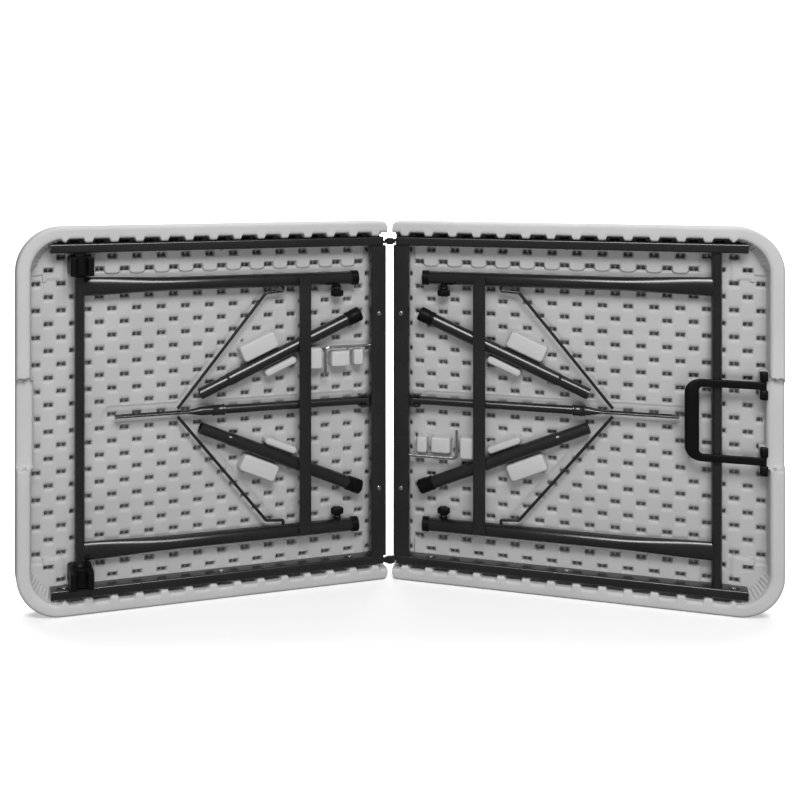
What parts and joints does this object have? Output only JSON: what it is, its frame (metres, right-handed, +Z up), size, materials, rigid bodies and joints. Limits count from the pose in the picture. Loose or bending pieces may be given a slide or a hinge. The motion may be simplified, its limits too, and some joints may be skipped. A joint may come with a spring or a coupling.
{
  "type": "folding picnic table",
  "caption": "Fold-in-half moulded table on a steel frame, with folding braced legs, stored leg extensions, draw bolts, latch clips and a carry handle.",
  "frame": {"origin": "middle of the footprint, on the floor the long edges stand on, at rest", "axes": "+Z up along the fold line; +X from the left half to the right half; the undersides face -Y"},
  "size_m": [1.1896, 0.2186, 0.6],
  "materials": {
    "moulded_plastic": "fine-grained light grey",
    "coated_steel": "semi-gloss charcoal powder coat",
    "black_plastic": "satin black",
    "zinc_steel": "bright zinc"
  },
  "bodies": {
    "left_half": {"left_brace_bracket": "coated_steel", "left_brace_pin": "zinc_steel", "left_centre_rail": "coated_steel", "left_extension_tube_lower": "coated_steel", "left_extension_tube_upper": "coated_steel", "left_fold_ears": "coated_steel", "left_foot_cap_lower": "black_plastic", "left_foot_cap_upper": "black_plastic", "left_rail_screws": "zinc_steel", "left_side_rail_lower": "coated_steel", "left_side_rail_upper": "coated_steel", "left_top_panel": "moulded_plastic", "latch_clip_upper": "black_plastic", "latch_clip_lower": "black_plastic", "fold_rivets": "coated_steel"},
    "right_half": {"right_brace_bracket": "coated_steel", "right_brace_pin": "zinc_steel", "right_centre_rail": "coated_steel", "right_extension_tube_lower": "coated_steel", "right_extension_tube_upper": "coated_steel", "right_fold_ears": "coated_steel", "right_foot_cap_lower": "black_plastic", "right_foot_cap_upper": "black_plastic", "right_rail_screws": "zinc_steel", "right_side_rail_lower": "coated_steel", "right_side_rail_upper": "coated_steel", "right_top_panel": "moulded_plastic", "handle_saddles": "black_plastic"},
    "left_leg_frame": {"left_cross_bar": "coated_steel", "left_leg_collars": "black_plastic", "left_leg_tube_lower": "coated_steel", "left_leg_tube_upper": "coated_steel", "left_pivot_tube": "coated_steel"},
    "left_brace": {"left_brace_tube": "coated_steel"},
    "left_brace_wires": {"left_brace_wire_lower": "coated_steel", "left_brace_wire_upper": "coated_steel"},
    "left_lock_ring": {"left_lock_ring": "coated_steel"},
    "left_thumb_screw_upper": {"left_thumb_screw_upper": "black_plastic"},
    "left_thumb_screw_lower": {"left_thumb_screw_lower": "black_plastic"},
    "left_draw_bolt": {"left_draw_bolt": "zinc_steel"},
    "right_leg_frame": {"right_cross_bar": "coated_steel", "right_leg_collars": "black_plastic", "right_leg_tube_lower": "coated_steel", "right_leg_tube_upper": "coated_steel", "right_pivot_tube": "coated_steel"},
    "right_brace": {"right_brace_tube": "coated_steel"},
    "right_brace_wires": {"right_brace_wire_lower": "coated_steel", "right_brace_wire_upper": "coated_steel"},
    "right_lock_ring": {"right_lock_ring": "coated_steel"},
    "right_thumb_screw_upper": {"right_thumb_screw_upper": "black_plastic"},
    "right_thumb_screw_lower": {"right_thumb_screw_lower": "black_plastic"},
    "right_draw_bolt": {"right_draw_bolt": "zinc_steel"},
    "carry_handle": {"carry_handle": "black_plastic"}
  },
  "joints": [
    {"name": "centre_fold", "type": "hinge", "parent": "left_half", "child": "right_half", "pos_m": [0, 0.06727, 0.3], "axis": [0, 0, 1], "range_deg": [-146.2, 33.8]},
    {"name": "leg_fold_left", "type": "hinge", "parent": "left_half", "child": "left_leg_frame", "pos_m": [-0.4955, -0.06655, 0.3], "axis": [0, 0, -1], "range_deg": [0, 90]},
    {"name": "brace_swing_left", "type": "hinge", "parent": "left_half", "child": "left_brace", "pos_m": [-0.04484, 0.07037, 0.3], "axis": [0, 0, 1], "range_deg": [0, 36]},
    {"name": "wire_swing_left", "type": "hinge", "parent": "left_leg_frame", "child": "left_brace_wires", "pos_m": [-0.17879, 0.02967, 0.3], "axis": [0, 0, -1], "range_deg": [0, 56]},
    {"name": "ring_slide_left", "type": "slide", "parent": "left_brace", "child": "left_lock_ring", "axis": [-0.9568, -0.2907, 0], "range_m": [-0.22, 0.048]},
    {"name": "thumb_turn_left_upper", "type": "hinge", "parent": "left_leg_frame", "child": "left_thumb_screw_upper", "pos_m": [-0.08885, 0.057, 0.486], "axis": [0, 0, 1], "continuous": true},
    {"name": "thumb_turn_left_lower", "type": "hinge", "parent": "left_leg_frame", "child": "left_thumb_screw_lower", "pos_m": [-0.08885, 0.057, 0.114], "axis": [0, 0, 1], "continuous": true},
    {"name": "bolt_turn_left", "type": "hinge", "parent": "left_half", "child": "left_draw_bolt", "pos_m": [-0.0609, 0.06131, 0.392], "axis": [-0.9568, -0.2907, 0], "range_deg": [0, 90]},
    {"name": "leg_fold_right", "type": "hinge", "parent": "right_half", "child": "right_leg_frame", "pos_m": [0.4955, -0.06655, 0.3], "axis": [0, 0, 1], "range_deg": [0, 90]},
    {"name": "brace_swing_right", "type": "hinge", "parent": "right_half", "child": "right_brace", "pos_m": [0.04484, 0.07037, 0.3], "axis": [0, 0, -1], "range_deg": [0, 36]},
    {"name": "wire_swing_right", "type": "hinge", "parent": "right_leg_frame", "child": "right_brace_wires", "pos_m": [0.17879, 0.02967, 0.3], "axis": [0, 0, 1], "range_deg": [0, 56]},
    {"name": "ring_slide_right", "type": "slide", "parent": "right_brace", "child": "right_lock_ring", "axis": [0.9568, -0.2907, 0], "range_m": [-0.235, 0.033]},
    {"name": "thumb_turn_right_upper", "type": "hinge", "parent": "right_leg_frame", "child": "right_thumb_screw_upper", "pos_m": [0.08885, 0.057, 0.486], "axis": [0, 0, 1], "continuous": true},
    {"name": "thumb_turn_right_lower", "type": "hinge", "parent": "right_leg_frame", "child": "right_thumb_screw_lower", "pos_m": [0.08885, 0.057, 0.114], "axis": [0, 0, 1], "continuous": true},
    {"name": "bolt_turn_right", "type": "hinge", "parent": "right_half", "child": "right_draw_bolt", "pos_m": [0.0609, 0.06131, 0.208], "axis": [0.9568, -0.2907, 0], "range_deg": [0, 90]},
    {"name": "handle_swing", "type": "hinge", "parent": "right_half", "child": "carry_handle", "pos_m": [0.55652, -0.09617, 0.3], "axis": [0, 0, 1], "range_deg": [0, 180]}
  ],
  "couplings": [
    {"joint": "brace_swing_left", "follows": "leg_fold_left", "ratio": 0.38998},
    {"joint": "wire_swing_left", "follows": "leg_fold_left", "ratio": 0.61002},
    {"joint": "brace_swing_right", "follows": "leg_fold_right", "ratio": 0.38998},
    {"joint": "wire_swing_right", "follows": "leg_fold_right", "ratio": 0.61002}
  ]
}
